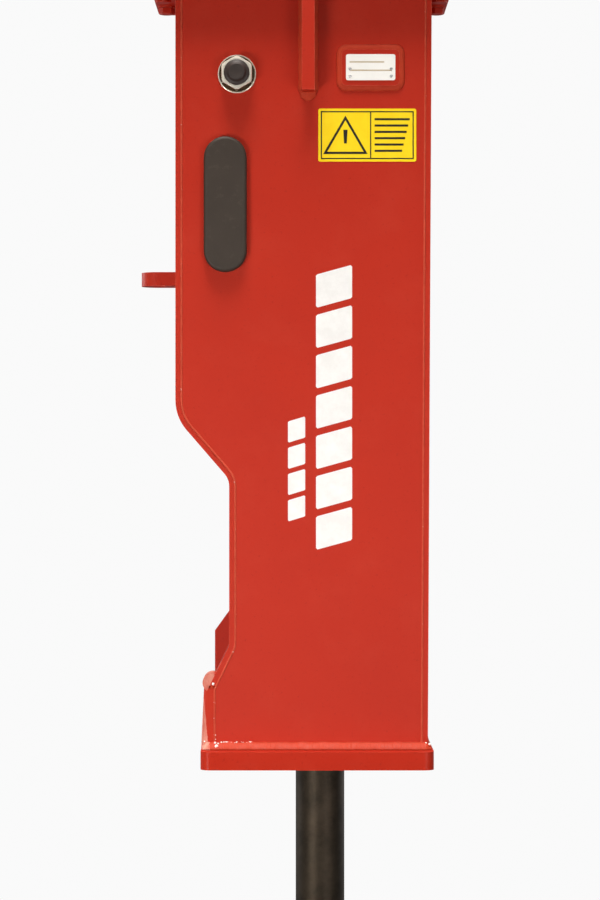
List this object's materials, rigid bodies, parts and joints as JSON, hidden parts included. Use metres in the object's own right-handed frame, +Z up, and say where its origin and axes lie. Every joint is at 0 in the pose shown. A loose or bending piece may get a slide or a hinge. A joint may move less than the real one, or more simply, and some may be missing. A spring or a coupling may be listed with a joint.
{
  "type": "hydraulic breaker",
  "caption": "Box-type hydraulic breaker for an excavator: welded housing with a flat bolt-on top, floating power cell with piston and valve, and a pointed tool.",
  "frame": {"origin": "where the tool's axis meets the flat top face that the excavator's bracket bolts to", "axes": "+Z up out of the top face, along the tool's axis; -X is the hose side (the back); +Y is the left side plate"},
  "size_m": [0.636, 0.5, 2.1975],
  "materials": {
    "red_paint": "semi-gloss brushed-on enamel",
    "zinc_steel": "yellowish zinc plating",
    "bright_steel": "machined",
    "forged_steel": "machined forging, oiled",
    "dark_steel": "blackened, oiled",
    "brown_rubber": "satin",
    "black_rubber": "matte",
    "black_plastic": "satin",
    "polyurethane": "satin",
    "seal_blue": "satin",
    "nameplate_white": "printed white",
    "label_yellow": "printed vinyl",
    "bronze": "machined bronze"
  },
  "bodies": {
    "housing": {"right_side_plate": "red_paint", "left_side_plate": "red_paint", "back_plate": "red_paint", "front_plate": "red_paint", "bottom_plate": "red_paint", "housing_flange": "red_paint", "top_plate": "red_paint", "flange_ribs": "red_paint", "foot_plate": "red_paint", "foot_rib": "red_paint", "guard_bar": "red_paint", "lifting_lug": "red_paint", "flange_bolts": "red_paint", "flange_washers": "red_paint", "nameplate_pad": "red_paint", "nameplate": "nameplate_white", "nameplate_rivets": "bright_steel", "warning_label": "label_yellow", "right_cover": "brown_rubber", "left_cover": "brown_rubber", "access_plugs": "black_rubber", "cross_bolt": "bright_steel", "cross_bolt_spacer": "forged_steel", "cross_bolt_nuts": "zinc_steel", "cross_bolt_caps": "black_plastic", "upper_damper": "polyurethane", "lower_damper": "polyurethane", "side_dampers": "polyurethane", "back_head": "forged_steel", "gas_valve": "bright_steel", "cylinder": "forged_steel", "front_head": "forged_steel", "through_bolts": "bright_steel", "through_bolt_nuts": "bright_steel", "through_bolt_washers": "bright_steel", "seal_retainer": "bronze", "gas_seal": "seal_blue", "piston_seals": "seal_blue", "dust_seal": "seal_blue", "thrust_ring": "bright_steel", "lower_bush": "bright_steel", "bush_pins": "bright_steel", "retaining_pins": "bright_steel", "pin_stoppers": "bright_steel", "grease_nipple": "bright_steel", "valve_housing": "forged_steel", "valve_sleeve": "bright_steel", "valve_cap": "forged_steel", "valve_cap_bolts": "bright_steel", "valve_bolts": "bright_steel", "valve_adjuster": "bright_steel", "pressure_adapter": "zinc_steel", "return_adapter": "zinc_steel"},
    "piston": {"piston": "bright_steel"},
    "tool": {"tool": "dark_steel"},
    "valve_spool": {"valve_spool": "bright_steel"}
  },
  "joints": [
    {"name": "piston_stroke", "type": "slide", "parent": "housing", "child": "piston", "axis": [0, 0, 1], "range_m": [0, 0.09]},
    {"name": "tool_travel", "type": "slide", "parent": "housing", "child": "tool", "axis": [0, 0, 1], "range_m": [0, 0.045]},
    {"name": "spool_shift", "type": "slide", "parent": "housing", "child": "valve_spool", "axis": [0, 0, 1], "range_m": [0, 0.012]}
  ]
}
